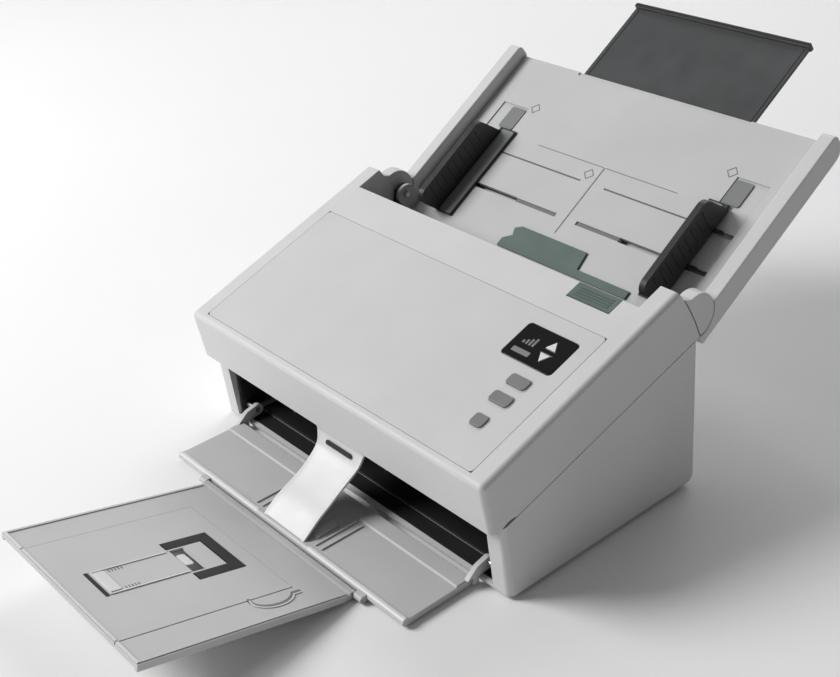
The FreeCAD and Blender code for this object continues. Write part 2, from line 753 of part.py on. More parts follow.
def display_window():
    window = Moulding("display_window")
    window.pad("plan", [rounded("87.5", "87.5", "132", "117.5", "3")], "-1.5", "0.25")
    up = [("112", "104.2"), ("122", "104.2"), ("117", "112.6")]
    down = [("112", "100.8"), ("117", "92.4"), ("122", "100.8")]
    window.pocket("plan", [up, down], "-3", "2")
    publish(window.body, "display_window", "top")
    key("up_key", [("112.8", "104.7"), ("121.2", "104.7"), ("117", "111.8")])
    key("down_key", [("112.8", "100.3"), ("117", "93.2"), ("121.2", "100.3")])


def key(node, outline):
    piece = Moulding(node)
    piece.pad("plan", [outline], "-3.2", "0.7")
    publish(piece.body, node, "top")


def buttons():
    for node, x0, y0, x1, y1 in (("two_side_button", "109.6", "69.5", "126.4", "78.5"),
                                 ("one_side_button", "109.6", "53.5", "126.4", "62.5"),
                                 ("power_button", "112.6", "33.1", "123.4", "42.9")):
        piece = Moulding(node)
        piece.pad("plan", [rounded(x0, y0, x1, y1, "2.6")], "-3.4", "1.3")
        piece.round_edges("0.5", lambda edge: edge.BoundBox.ZMin > 1.29)
        publish(piece.body, node, "top")


def control_board():
    """Circuit board under the panel, with a switch below each key."""
    board = block("control_sheet", ("84", "134"), ("30", "120"), ("-9", "-7.4"))
    places = [("118", "74"), ("118", "58"), ("118", "38"), ("117", "107"), ("117", "97.5")]
    switches = [block(f"switch{n}", (f"{x} - 2.5", f"{x} + 2.5"), (f"{y} - 2.5", f"{y} + 2.5"),
                      ("-7.5", "-5"))
                for n, (x, y) in enumerate(places)]
    legs = [block(f"control_leg{n}", (f"{x} - 1.5", f"{x} + 1.5"), (f"{y} - 1.5", f"{y} + 1.5"),
                  ("-7.5", "-skin - 0.01")) for n, (x, y) in enumerate((("86", "32"), ("132", "32"),
                                                                ("86", "84"), ("132", "84")))]
    publish(join("control_board_done", board, *switches, *legs), "control_board", "top")


def cover_latch():
    """Press lever at the right of the cover's rear edge."""
    lever = Moulding("cover_latch")
    outline = [("148.6", "-2.6"), ("147.6", "-1.2"), ("148.6", "0.1"), ("161.4", "0.1"), ("161.4", "-2.6")]
    lever.pad("side", [outline], "92", "129")
    lever.pad("side", [("circle", "148.6", "-1.2", "0.8")], "90.4", "130.6")
    publish(lever.body, "cover_latch", "top")


def upper_paper_guide():
    """Upper half of the paper path, rising behind the rollers into the feed mouth."""
    gap = "path_gap"
    outline = [
        ("-2.6", f"{part_z('-2.6')} + {gap}"), ("126", f"{part_z('126')} + {gap}"),
        ("130", f"{part_z('130')} + 8"), ("134.4", f"{top_z('134.4')} - 3.6"),
        ("132.2", f"{top_z('132.2')} - 3.6"), ("127.6", f"{part_z('130')} + 8"),
        ("124", f"{part_z('124')} + {gap} + 2"), ("-2.6", f"{part_z('-2.6')} + {gap} + 2"),
    ]
    guide = Moulding("upper_paper_guide")
    guide.pad("side", [outline], "-142.4", "142.4")
    windows = [rectangle("-31", "feed_y - 20", "31", "131")]
    windows += mirrored_pair("43", "exit_y - 8", "59", "exit_y + 6")
    windows += mirrored_pair("98", "exit_y - 8", "114", "exit_y + 6")
    windows.append(rectangle("-116.3", "61.7", "116.3", "76.3"))
    guide.pocket("plan", windows, "40", "124")
    publish(guide.body, "upper_paper_guide")


def cover_rollers():
    retard, pinch = retard_axis(), pinch_axis()
    publish(rod("retard_rod", "x", retard, "shaft_r - 0.5", "-36", "36"), "retard_shaft")
    publish(rod("pinch_rod", "x", pinch, "1.5", "-132", "132"), "pinch_shaft")
    ring = tyre("retard_ring", retard, "feed_r", "shaft_r - 0.5 + run_gap", ("-27", "27"))
    publish(ring, "retard_roller")
    rings = [tyre(f"pinch_ring{side}{low}", pinch, "pinch_r", "1.5 + run_gap",
                  span(side, low, f"{low} + 12"))
             for side in (1, -1) for low in ("45", "100")]
    publish(group("pinch_rollers_all", *rings), "pinch_rollers")
    brackets = []
    for side in (1, -1):
        low, high = span(side, "32", "35")
        top = f"{top_z('feed_y')} - 8.5"
        brackets.append(block(f"retard_leg{side}", (low, high), ("feed_y - 12", "feed_y + 4"),
                              (f"{part_z('feed_y + 4')} + path_gap + 2", top)))
    legs = [cut(f"retard_leg_done{n}", leg,
                rod(f"retard_leg_hole{n}", "x", retard, "shaft_r - 0.5", "-40", "40"))
            for n, leg in enumerate(brackets)]
    publish(group("roller_brackets_all", *legs), "roller_brackets")


# ---------------------------------------------------------------- input tray

def input_tray_plate():
    """Paper support with its slots, and an arm each side that reaches the pivot."""
    plate = Moulding("input_tray_plate")
    outline = [("-146.8", "0"), ("-146.8", "-145"), ("-139.8", "-147"), ("-139.8", "-167"),
               ("139.8", "-167"), ("139.8", "-147"), ("146.8", "-145"), ("146.8", "0")]
    plate.pad("plan", [outline[::-1]], "-tray_skin", "0")
    arm = [("-166.9", "-tray_skin"), ("tray_pivot_v + 12", "-tray_skin"),
           ("tray_pivot_v + 8.5", "tray_pivot_n", "8.7"), ("tray_pivot_v - 8.5", "tray_pivot_n")]
    plate.pad("side", [arm], "136.7", "139.8")
    plate.pad("side", [arm], "-139.8", "-136.7")
    hole = [("circle", "tray_pivot_v", "tray_pivot_n", "pin_r + run_gap")]
    plate.pocket("side", hole, "-141", "141")
    slots = mirrored_pair("12", "-90.6", "99", "-89.2")
    slots += mirrored_pair("10.5", "-125.2", "99", "-121.8")
    slots.append(rectangle("-extension_half - 1", "-3", "extension_half + 1", "1"))
    plate.pocket("plan", slots, "-1.2", "1")
    plate.pocket("plan", mirrored_pair("104", "-152", "132", "-46"), "-1.0", "1")
    slits = mirrored_pair("99.5", "-93.5", "131", "-89.5")
    slits += mirrored_pair("53", "-125.5", "131", "-121.5")
    plate.pocket("plan", slits, "-4", "1")
    publish(plate.body, "input_tray_plate", "tray")


def input_tray_back():
    """Rear cover of the tray; the extension slides between it and the plate."""
    back = Moulding("input_tray_back")
    back.pad("plan", [rectangle("-146.6", "-144", "146.6", "-1")], "-tray_deep - 1", "-tray_skin - 0.15")
    back.pocket("plan", [rectangle("-extension_half - 0.6", "-118", "extension_half + 0.6", "2")],
                "-tray_deep + 1.4", "0")
    back.pocket("plan", [rectangle("-134", "-136", "134", "-119")], "-tray_deep + 1.4", "0")
    publish(back.body, "input_tray_back", "tray")


def tray_rail(side, node):
    """Side rail; its lower end is hollowed round the hinge cap."""
    outline = [
        ("-8", "-tray_deep + 0.6", "11"), ("2.6", "0.5"), ("2.2", "rail_top - 4", "5"), ("-3", "rail_top"),
        ("-144.3", "rail_top", "-16.6"), ("-168", "0.8"), ("-168", "-tray_deep + 0.6"),
    ]
    rail = Moulding(node)
    rail.pad("side", [outline], *span(side, "rail_inner", "half_width"))
    publish(rail.body, node, "tray")


def entry_flap():
    """Thin green-grey strip at the foot of the tray that starts the sheets."""
    flap = Moulding("entry_flap")
    flap.pad("plan", [[("-34", "-146"), ("-31", "-152"), ("-38", "-157"), ("-38", "-164"), ("90", "-164"),
                       ("90", "-157.5"), ("40", "-157.5"), ("38", "-142.6"), ("-28", "-142.6")]],
              "0.05", "1.7")
    publish(flap.body, "entry_flap", "tray")


def paper_guide(side, node):
    """Sliding edge guide: a foot on the plate, an upright fin and a rack below."""
    guide = Moulding(node)
    low, high = span(side, "guide_x - 16", "guide_x + 1")
    guide.pad("plan", [rectangle(low, "-157", high, "-70")], "0.25", "2")
    fin = [("-156.6", "1"), ("-73", "1"), ("-82", "guide_tall - 6", "9"), ("-91", "guide_tall"),
           ("-154", "guide_tall - 1", "8"), ("-163", "guide_tall - 9")]
    guide.pad("side", [fin], *span(side, "guide_x - 2", "guide_x + 3"))
    guide.pad("plan", [rectangle(*pair_x(side, "guide_x - 1", "-92.5", "guide_x + 11", "-90.5"))],
              "0.25", "2.4")
    guide.pad("plan", [rectangle(*pair_x(side, "guide_x - 1", "-124.5", "guide_x + 11", "-122.5"))],
              "0.25", "2.4")
    guide.pad("plan", [rectangle(*pair_x(side, "guide_x - 4", "-124.2", "guide_x + 1", "-122.8"))],
              "-4.4", "0.5")
    rack_y = ("-128", "-125.6") if side > 0 else ("-121.4", "-119")
    reach = rectangle(*pair_x(side, "-18", rack_y[0], "guide_x + 1", rack_y[1]))
    guide.pad("plan", [reach], "-6.2", "-4.2")
    stem_y = ("-128", "-122.8") if side > 0 else ("-124.2", "-119")
    stem = rectangle(*pair_x(side, "guide_x - 4", stem_y[0], "guide_x + 1", stem_y[1]))
    guide.pad("plan", [stem], "-6.2", "-4.2")
    publish(guide.body, node, "tray")


def pair_x(side, x0, y0, x1, y1):
    """Rectangle limits mirrored to the wanted side."""
    low, high = span(side, x0, x1)
    return low, y0, high, y1


def tray_extension():
    """Pull-out plate at the top of the tray, with a lip along its end."""
    plate = Moulding("tray_extension")
    low = "-tray_deep + 1.9"
    plate.pad("plan", [rectangle("-extension_half", "-30", "extension_half", "extension_out")],
              low, f"{low} + 2.3")
    plate.pad("plan", [rounded("-extension_half - 1.2", "extension_out - 4", "extension_half + 1.2",
                               "extension_out", "1.5")], f"{low} - 0.6", f"{low} + 4.6")
    publish(plate.body, "tray_extension", "tray")


def hinge_cap(side):
    """Fixed round cap over the tray's pivot, with a horn that follows the cover."""
    near = "184.4"
    cap = Moulding(f"hinge_cap{'R' if side > 0 else 'L'}")
    cap.pad("side", [("circle", "tray_pivot_y", "tray_pivot_z", "16")],
            *span(side, "rail_inner + 0.3", "half_width"))
    horn = [("177", "117"), ("189.2", "121"), ("185", "137.5"), ("159.2", "145.6")]
    cap.pad("side", [horn], *span(side, "rail_inner + 0.3", "half_width"))
    above = block(f"cap_top{side}", ("-200", "200"), ("-60", "60"), ("0", "60"))
    above.Placement = Placement(Vector(-200, 159, 145.8), Rotation(Vector(1, 0, 0), -16.5))
    cover_side = rod(f"cap_cover{side}", "x", ("cover_pivot_y", "cover_pivot_z"), near, "-200", "200")
    bore = rod(f"cap_bore{side}", "x", ("tray_pivot_y", "tray_pivot_z"), "pin_r",
               *span(side, "rail_inner", "152"))
    return cut(f"hinge_cap_done{side}", cap.body, above, cover_side, bore)


def hinge_pins():
    both = both_sides("tray_pins_all", lambda side: rod(
        f"tray_pin{side}", "x", ("tray_pivot_y", "tray_pivot_z"), "pin_r", *span(side, "134.6", "152")))
    publish(both, "tray_hinge_pins")
    both = both_sides("cover_pins_all", lambda side: rod(
        f"cover_pin{side}", "x", ("cover_pivot_y", "cover_pivot_z"), "pin_r", *span(side, "146.4", "157.1")))
    publish(both, "cover_hinge_pins")
    both = both_sides("output_pins_all", lambda side: rod(
        f"output_pin{side}", "x", ("out_pivot_y + 3", "out_pivot_z + 1"), "pin_r",
        *span(side, "128.4", "frame_outer")))
    publish(both, "output_hinge_pins")


# ---------------------------------------------------------------- output tray

def output_tray():
    """First stage: a flat plate with a rounded front lip and two hinge arms."""
    tray = Moulding("output_tray")
    profile = [
        ("out_front_y + 2", "-1.6"), ("-6.2", "-1.6"), ("-6.2", "out_top"), ("out_front_y + 7", "out_top"),
        ("out_front_y + 3", "out_top + 1", "3.2"), ("out_front_y", "out_top - 2"), ("out_front_y", "0.4"),
    ]
    tray.pad("side", [profile], "-out_half", "out_half")
    arm = [
        ("-12", "-1.6"), ("-1.4", "-1.6"), ("-1.4", "3.1"), ("out_pivot_y + 3", "out_pivot_z - 3.6", "4.8"),
        ("out_pivot_y + 7.6", "out_pivot_z + 1", "4.8"), ("out_pivot_y + 3", "out_pivot_z + 5.6"),
        ("-2", "out_pivot_z + 3"), ("-12", "out_top"),
    ]
    tray.pad("side", [arm], "out_half - 1.8", "130.9")
    tray.pad("side", [arm], "-130.9", "-out_half + 1.8")
    tray.pocket("plan", mirrored_pair("out_half", "-40", "145", "-6.3"), "-3", "4")
    hole = [("circle", "out_pivot_y + 3", "out_pivot_z + 1", "pin_r + run_gap")]
    tray.pocket("side", hole, "-141", "141")
    ridge = [("-53", "1"), ("-30", "1"), ("-33", "5"), ("-50", "4.6")]
    tray.pad("side", [ridge], "19", "26")
    tray.pad("side", [ridge], "-26", "-19")
    # knuckles that hold the fold pin
    tray_knuckles(tray)
    publish(tray.body, "output_tray")


def fold_axis():
    """Axis of the second stage, in the casing frame."""
    turn = "(fold_angle * pi / 180)"
    y = f"(fold_y - 2.2 * cos({turn} * 1 rad) + 0.55 * sin({turn} * 1 rad))"
    z = f"(fold_z - 2.2 * sin({turn} * 1 rad) - 0.55 * cos({turn} * 1 rad))"
    return y, z


def tray_knuckles(tray):
    """Ears on the front lip that hold the second stage's trunnions."""
    y, z = fold_axis()
    for side in (1, -1):
        limits = span(side, "fold_half + 0.5", "fold_half + 8")
        tray.pad("side", [[(y, f"{z} - 2.4"), ("out_front_y + 4", "-1.6"), ("out_front_y + 4", "out_top"),
                           (y, f"{z} + 2.4", "2.5")]], *limits)
    tray.pocket("side", [("circle", y, z, "1.15 + run_gap")], "-fold_half - 9", "fold_half + 9")


def exit_tongue():
    """Curved strap that lets the sheets down from the exit slot to the tray."""
    tongue = Moulding("exit_tongue")
    outline = [
        ("-60.8", "4.2"), ("-47", "13.6"), ("-33", "21.2"), ("-21", "28.7"), ("-10.4", "37.2"),
        ("-6.6", "46"), ("-6.3", "48.1"), ("-4.3", "48.2"), ("-4.5", "45.4"), ("-8.6", "35.8"),
        ("-20", "26.8"), ("-32", "19.2"), ("-46", "11.6"), ("-57", "4.2"),
    ]
    tongue.pad("side", [outline], "-27", "27")
    tongue.pocket("front", [rounded("-14", "41.5", "14", "44.5", "1.4")], "-16", "0")
    publish(tongue.body, "exit_tongue")


def output_extension():
    """Second stage, hinged at the lip of the first."""
    half = "fold_half"
    plate = Moulding("output_extension")
    outline = [("-" + half, "-fold_long"), (half, "-fold_long"), (half, "-4.5"), ("-" + half, "-4.5")]
    plate.pad("plan", [outline], "-3.4", "0")
    plate.pad("side", [rectangle("-fold_long", "-4.6", "-8", "-3.3")], "fold_half - 3", "fold_half")
    plate.pad("side", [rectangle("-fold_long", "-4.6", "-8", "-3.3")], "-fold_half", "-fold_half + 3")
    plate.pad("side", [("circle", "-2.2", "-0.55", "2.3")], f"-{half}", half)
    plate.pad("side", [rectangle("-6", "-2.7", "-2.2", "1.7")], f"-{half}", half)
    plate.pad("side", [("circle", "-2.2", "-0.55", "1.15")], "-93", "93")
    plate.pocket("plan", [rectangle("-60", "-156.5", "60", "-31.5")], "-1.7", "1")
    plate.pocket("plan", [rectangle("-14", "-136", "14", "-60")], "-5", "1")
    publish(plate.body, "output_extension", "fold")


def slide_panel():
    """Third stage: a thin panel that draws out of the second."""
    panel = Moulding("slide_panel")
    panel.pad("plan", [rectangle("-59.5", "-156", "59.5", "-32")], "-1.4", "0.2")
    recess = [("-25", "-77.5"), ("-16", "-77.5"), ("-16", "-52"), ("16", "-52"), ("16", "-77.5"),
              ("25", "-77.5"),
              ("25", "-42.5"), ("-25", "-42.5")]
    panel.pocket("plan", [recess], "-0.6", "1")
    panel.pocket("plan", [rectangle("-14.6", "-134.5", "14.6", "-66")], "-3", "2")
    panel.pocket("side", [("circle", "-76.6", "-0.5", "0.64")], "-17", "17")
    publish(panel.body, "slide_panel", "fold")


def stop_flap():
    """Small flap that tips up out of the panel to stop the sheets."""
    flap = Moulding("stop_flap")
    flap.pad("plan", [rectangle("-14", "-133.5", "14", "-79")], "-1.2", "0.3")
    flap.pad("side", [("circle", "-76.6", "-0.5", "0.9")], "-14", "14")
    flap.pad("plan", [rectangle("-14", "-79.5", "14", "-76.6")], "-1.2", "0.3")
    flap.pad("side", [("circle", "-76.6", "-0.5", "0.6")], "-16.4", "16.4")
    publish(flap.body, "stop_flap", "fold")


# ---------------------------------------------------------------- assembly

def build():
    fill_sheet()
    base_casing()
    bottom_cover()
    case_screws()
    rubber_feet()
    side_frame(-1, "left_side_frame")
    side_frame(1, "right_side_frame")
    lower_paper_guide()
    sensor(1, "lower_sensor_bar", "lower_sensor_glass")
    sensor(-1, "upper_sensor_bar", "upper_sensor_glass")
    bay_bulkhead()
    main_board()
    sockets()
    drive_gears()
    shafts_and_tyres()
    shaft_bushes()
    cover_shell()
    top_panel()
    display_window()
    buttons()
    control_board()
    cover_latch()
    upper_paper_guide()
    cover_rollers()
    input_tray_plate()
    input_tray_back()
    tray_rail(-1, "left_tray_rail")
    tray_rail(1, "right_tray_rail")
    entry_flap()
    paper_guide(-1, "left_paper_guide")
    paper_guide(1, "right_paper_guide")
    tray_extension()
    publish(both_sides("hinge_caps_all", hinge_cap), "hinge_caps")
    hinge_pins()
    output_tray()
    exit_tongue()
    output_extension()
    slide_panel()
    stop_flap()
    doc.recompute()


def check():
    """Stop before writing anything if an object failed or a shape is not sound."""
    faults = [item.Name for item in doc.Objects if "Invalid" in item.State or "Error" in item.State]
    for node, item in nodes:
        if item.Shape.isNull() or not item.Shape.isValid() or not item.Shape.Solids:
            faults.append(f"{node}: shape")
    if faults:
        raise RuntimeError("failed: " + ", ".join(faults))


def export():
    os.makedirs("parts", exist_ok=True)
    for node, item in nodes:
        item.Shape.exportStep(f"parts/{node}.step")
    print(f"{len(nodes)} sub-parts written")


build()
check()
export()
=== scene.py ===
import bmesh
import bpy
import json
import math
from mathutils import Matrix, Vector


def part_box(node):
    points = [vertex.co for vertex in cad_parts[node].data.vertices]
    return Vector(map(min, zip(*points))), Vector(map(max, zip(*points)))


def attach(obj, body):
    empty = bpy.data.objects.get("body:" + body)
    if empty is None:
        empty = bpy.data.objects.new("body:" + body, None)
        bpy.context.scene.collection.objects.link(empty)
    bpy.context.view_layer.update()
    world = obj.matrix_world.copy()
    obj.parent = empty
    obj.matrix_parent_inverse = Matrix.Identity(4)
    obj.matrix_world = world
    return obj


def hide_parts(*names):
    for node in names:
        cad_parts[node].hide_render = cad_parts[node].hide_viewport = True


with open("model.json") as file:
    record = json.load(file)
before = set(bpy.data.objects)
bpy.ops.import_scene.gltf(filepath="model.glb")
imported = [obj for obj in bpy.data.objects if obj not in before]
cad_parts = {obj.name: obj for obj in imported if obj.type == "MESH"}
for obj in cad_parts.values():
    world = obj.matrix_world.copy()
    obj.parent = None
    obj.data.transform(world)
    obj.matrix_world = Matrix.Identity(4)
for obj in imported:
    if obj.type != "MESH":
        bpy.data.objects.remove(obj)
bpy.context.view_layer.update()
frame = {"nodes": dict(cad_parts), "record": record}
nodes = frame["nodes"]
bodyOf = {node: body for body, names in frame["record"]["behaviour"]["bodies"].items() for node in names}
slotOf = {part["node"]: part["material_slot"] for part in frame["record"]["subparts"]}
print("frame loaded:", len(nodes), "pieces")


# shared helpers

def nodeGroup(material):
    material.use_nodes = True
    tree = material.node_tree
    tree.nodes.clear()
    output = tree.nodes.new("ShaderNodeOutputMaterial")
    shader = tree.nodes.new("ShaderNodeBsdfPrincipled")
    tree.links.new(shader.outputs["BSDF"], output.inputs["Surface"])
    return tree, shader


def addNoise(tree, place, scale, detail=3.0, rough=0.55):
    noise = tree.nodes.new("ShaderNodeTexNoise")
    noise.inputs["Scale"].default_value = scale
    noise.inputs["Detail"].default_value = detail
    noise.inputs["Roughness"].default_value = rough
    tree.links.new(place.outputs["Object"], noise.inputs["Vector"])
    return noise


def addRange(tree, source, low, high, fromLow=0.3, fromHigh=0.7):
    spread = tree.nodes.new("ShaderNodeMapRange")
    spread.inputs["From Min"].default_value = fromLow
    spread.inputs["From Max"].default_value = fromHigh
    spread.inputs["To Min"].default_value = low
    spread.inputs["To Max"].default_value = high
    tree.links.new(source, spread.inputs["Value"])
    return spread


def mouldedPlastic(name, look):
    # fine spark texture, slow colour drift, rubbed patches and painted shade in the corners (ambient
    # occlusion darkens the colour there)
    material = bpy.data.materials.new(name)
    tree, shader = nodeGroup(material)
    place = tree.nodes.new("ShaderNodeTexCoord")
    drift = addNoise(tree, place, look["driftScale"], 2.0)
    rubbed = addNoise(tree, place, look["rubScale"], 4.0)
    grain = addNoise(tree, place, look["grainScale"], 2.0)
    pits = addNoise(tree, place, look["grainScale"] * 0.37, 2.0)
    base = look["colour"]
    shade = tree.nodes.new("ShaderNodeMix")
    shade.data_type = "RGBA"
    shade.inputs["A"].default_value = [c * (1 - look["variation"]) for c in base] + [1]
    shade.inputs["B"].default_value = [min(1, c * (1 + look["variation"])) for c in base] + [1]
    driftRange = addRange(tree, drift.outputs["Fac"], 0, 1)
    tree.links.new(driftRange.outputs["Result"], shade.inputs["Factor"])
    # painted shade: the ambient occlusion value darkens the base colour in corners and crevices
    corner = tree.nodes.new("ShaderNodeAmbientOcclusion")
    corner.samples = 6
    corner.inputs["Distance"].default_value = look["paintedShadeReach"]
    paintedShade = tree.nodes.new("ShaderNodeMix")
    paintedShade.data_type = "RGBA"
    paintedShade.inputs["A"].default_value = [c * (1 - look["paintedShade"]) for c in base] + [1]
    cornerRange = addRange(tree, corner.outputs["AO"], 0, 1, 0.35, 0.95)
    tree.links.new(cornerRange.outputs["Result"], paintedShade.inputs["Factor"])
    tree.links.new(shade.outputs["Result"], paintedShade.inputs["B"])
    tree.links.new(paintedShade.outputs["Result"], shader.inputs["Base Color"])
    gloss = addRange(tree, rubbed.outputs["Fac"], look["roughness"] - look["rub"],
                     look["roughness"] + look["rub"])
    tree.links.new(gloss.outputs["Result"], shader.inputs["Roughness"])
    height = tree.nodes.new("ShaderNodeMath")
    height.operation = "ADD"
    tree.links.new(grain.outputs["Fac"], height.inputs[0])
    tree.links.new(pits.outputs["Fac"], height.inputs[1])
    bump = tree.nodes.new("ShaderNodeBump")
    bump.inputs["Strength"].default_value = look["grain"]
    bump.inputs["Distance"].default_value = look["grainDepth"]
    tree.links.new(height.outputs["Value"], bump.inputs["Height"])
    tree.links.new(bump.outputs["Normal"], shader.inputs["Normal"])
    shader.inputs["Specular IOR Level"].default_value = look.get("specular", 0.4)
    shader.inputs["Coat Weight"].default_value = look.get("coat", 0.0)
    shader.inputs["Coat Roughness"].default_value = 0.12
    return material


# the last two values set how strongly and how far the ambient occlusion paints shade into corners
plainLook = dict(variation=0.025, driftScale=14.0, roughness=0.52, rub=0.07, rubScale=55.0, grainScale=2600.0,
                 grain=0.22, grainDepth=0.00012, paintedShade=0.28, paintedShadeReach=0.006)
finishes = {
    "white_casing": dict(plainLook, colour=(0.66, 0.665, 0.66)),
    "white_panel": dict(plainLook, colour=(0.63, 0.635, 0.63), roughness=0.48),
    "grey_plate": dict(plainLook, colour=(0.58, 0.585, 0.58), roughness=0.46, variation=0.03),
    "dark_plastic": dict(plainLook, colour=(0.018, 0.018, 0.019), roughness=0.5, grain=0.3, paintedShade=0.1),
    "guide_plastic": dict(plainLook, colour=(0.035, 0.036, 0.037), roughness=0.45, rub=0.1, variation=0.12),
    "mid_grey": dict(plainLook, colour=(0.07, 0.072, 0.074), roughness=0.42, rub=0.08, variation=0.06),
    "window_black": dict(plainLook, colour=(0.006, 0.006, 0.007), roughness=0.12, rub=0.05, grain=0.02,
                         coat=0.6),
    "key_plastic": dict(plainLook, colour=(0.22, 0.225, 0.225), roughness=0.4),
    "key_white": dict(plainLook, colour=(0.78, 0.78, 0.77), roughness=0.4),
    "flap_green": dict(plainLook, colour=(0.12, 0.165, 0.145), roughness=0.42, variation=0.1),
    "rubber": dict(plainLook, colour=(0.02, 0.02, 0.021), roughness=0.75, rub=0.1, grain=0.5, variation=0.2),
    "gear_plastic": dict(plainLook, colour=(0.55, 0.52, 0.45), roughness=0.38, specular=0.5),
    "board": dict(plainLook, colour=(0.01, 0.09, 0.035), roughness=0.35, variation=0.15),
    "pocket_grey": dict(plainLook, colour=(0.23, 0.235, 0.235), roughness=0.5),
    "mark_grey": dict(plainLook, colour=(0.2, 0.205, 0.21), roughness=0.55),
    # painted highlight: a lighter copy of the plate plastic for the strap, lips, rims and edges that catch
    # the light
    "painted_highlight": dict(plainLook, colour=(0.74, 0.745, 0.74), roughness=0.4, rub=0.05, grain=0.12),
}
materials = {name: mouldedPlastic(name, look) for name, look in finishes.items()}


def drawnSteel(name, look):
    # fine drawing lines along X with a little tarnish
    material = bpy.data.materials.new(name)
    tree, shader = nodeGroup(material)
    place = tree.nodes.new("ShaderNodeTexCoord")
    stretch = tree.nodes.new("ShaderNodeMapping")
    stretch.inputs["Scale"].default_value = (20, 900, 900)
    tree.links.new(place.outputs["Object"], stretch.inputs["Vector"])
    lines = tree.nodes.new("ShaderNodeTexNoise")
    lines.inputs["Scale"].default_value = 1.0
    tree.links.new(stretch.outputs["Vector"], lines.inputs["Vector"])
    tarnish = addNoise(tree, place, 90.0, 3.0)
    ramp = tree.nodes.new("ShaderNodeValToRGB")
    ramp.color_ramp.elements[0].color = [c * 0.8 for c in look["colour"]] + [1]
    ramp.color_ramp.elements[1].color = list(look["colour"]) + [1]
    tree.links.new(tarnish.outputs["Fac"], ramp.inputs["Fac"])
    tree.links.new(ramp.outputs["Color"], shader.inputs["Base Color"])
    gloss = addRange(tree, lines.outputs["Fac"], look["roughness"] - 0.08, look["roughness"] + 0.1)
    tree.links.new(gloss.outputs["Result"], shader.inputs["Roughness"])
    bump = tree.nodes.new("ShaderNodeBump")
    bump.inputs["Strength"].default_value = 0.15
    bump.inputs["Distance"].default_value = 0.00005
    tree.links.new(lines.outputs["Fac"], bump.inputs["Height"])
    tree.links.new(bump.outputs["Normal"], shader.inputs["Normal"])
    shader.inputs["Metallic"].default_value = 1.0
    return material


def clearGlass(name):
    material = bpy.data.materials.new(name)
    tree, shader = nodeGroup(material)
    place = tree.nodes.new("ShaderNodeTexCoord")
    smears = addNoise(tree, place, 40.0, 5.0)
    gloss = addRange(tree, smears.outputs["Fac"], 0.03, 0.16)
    tree.links.new(gloss.outputs["Result"], shader.inputs["Roughness"])
    ripple = tree.nodes.new("ShaderNodeBump")
    ripple.inputs["Strength"].default_value = 0.04
    ripple.inputs["Distance"].default_value = 0.0001
    tree.links.new(smears.outputs["Fac"], ripple.inputs["Height"])
    tree.links.new(ripple.outputs["Normal"], shader.inputs["Normal"])
    shader.inputs["Base Color"].default_value = (0.7, 0.83, 0.8, 1)
    shader.inputs["Transmission Weight"].default_value = 0.75
    return material


materials["steel"] = drawnSteel("steel", dict(colour=(0.62, 0.63, 0.64), roughness=0.28))
materials["zinc"] = drawnSteel("zinc", dict(colour=(0.5, 0.51, 0.52), roughness=0.4))
materials["sensor_glass"] = clearGlass("sensor_glass")
print("materials made:", len(materials))


def giveMaterial(piece, name):
    piece.data.materials.clear()
    piece.data.materials.append(materials[name])


def addPiece(name, mesh, body, slotName, finish=None, angle=35):
    piece = bpy.data.objects.new(name, mesh)
    bpy.context.scene.collection.objects.link(piece)
    giveMaterial(piece, finish or slotName)
    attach(piece, body)
    smoothByAngle(piece, angle)
    return piece


def smoothByAngle(piece, angle):
    mesh = piece.data
    for face in mesh.polygons:
        face.use_smooth = True
    bm = bmesh.new()
    bm.from_mesh(mesh)
    for edge in bm.edges:
        edge.smooth = not (len(edge.link_faces) == 2 and edge.calc_face_angle(0) > math.radians(angle))
    bm.to_mesh(mesh)
    bm.free()


def roundEdges(piece, width, segments=3, angle=28):
    bevel = piece.modifiers.new("edges", "BEVEL")
    bevel.width = width
    bevel.segments = segments
    bevel.limit_method = "ANGLE"
    bevel.angle_limit = math.radians(angle)
    bevel.use_clamp_overlap = True
    bevel.harden_normals = False
    even = piece.modifiers.new("even", "WEIGHTED_NORMAL")
    even.keep_sharp = False


def softened(node, width, finish=None, segments=3):
    # the part's own shape with its moulded edge radius; it stands for the plain part
    mesh = nodes[node].data.copy()
    bm = bmesh.new()
    bm.from_mesh(mesh)
    bmesh.ops.remove_doubles(bm, verts=bm.verts, dist=0.000002)
    bmesh.ops.dissolve_limit(bm, angle_limit=math.radians(0.8), verts=bm.verts, edges=bm.edges)
    bm.to_mesh(mesh)
    bm.free()
    piece = addPiece(node + "_moulded", mesh, bodyOf[node], slotOf[node], finish, 28)
    roundEdges(piece, width, segments)
    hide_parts(node)
    return piece


def meshFrom(name, verts, faces):
    mesh = bpy.data.meshes.new(name)
    mesh.from_pydata([tuple(v) for v in verts], [], faces)
    mesh.validate()
    bm = bmesh.new()
    bm.from_mesh(mesh)
    bmesh.ops.recalc_face_normals(bm, faces=bm.faces)
    bm.to_mesh(mesh)
    bm.free()
    return mesh


def onFace(faceName, x, along, out):
    origin, alongDir, outDir = faceFrames[faceName]
    return origin + Vector((x, 0, 0)) + alongDir * along + outDir * out


def slopeVectors(degrees):
    angle = math.radians(degrees)
    return Vector((0, math.cos(angle), math.sin(angle))), Vector((0, -math.sin(angle), math.cos(angle)))


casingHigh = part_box("base_casing")[1]
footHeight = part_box("rubber_feet")[1][2]
casingZero = Vector((0, casingHigh[1] - 0.1733, footHeight))
topAlong, topOut = slopeVectors(19.06)
trayAlong, trayOut = slopeVectors(31.76)
foldAlong, foldOut = slopeVectors(-15.0)
tongueAlong, tongueOut = slopeVectors(66.0)
